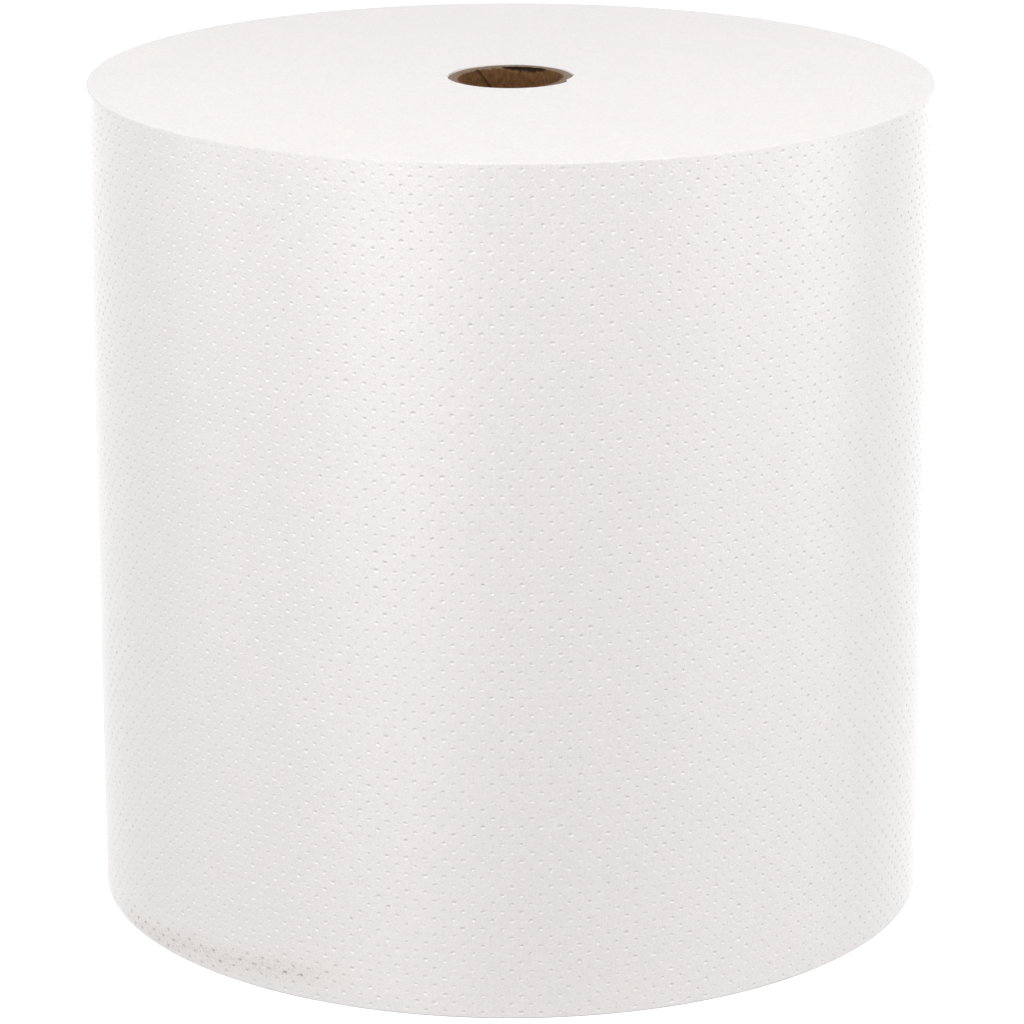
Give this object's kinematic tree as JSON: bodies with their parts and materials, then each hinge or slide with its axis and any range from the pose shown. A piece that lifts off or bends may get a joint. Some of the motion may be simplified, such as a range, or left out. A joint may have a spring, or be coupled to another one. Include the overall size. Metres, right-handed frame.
{
  "type": "paper towel roll",
  "caption": "Embossed one-ply towel sheet wound tightly on a paperboard core, to hang on a spindle through its bore or stand on a flat end",
  "frame": {"origin": "centre of the lower end face, on the axis of the core", "axes": "+Z along the roll's axis from the lower end to the upper end, -Y toward the side seen first, +X to that viewer's right"},
  "size_m": [0.2028, 0.203, 0.201],
  "materials": {
    "towel_paper": "matte, embossed with small dots",
    "core_board": "matte, uncoated kraft board"
  },
  "bodies": {
    "root": {"paper_roll": "towel_paper", "core_tube": "core_board"}
  },
  "joints": []
}
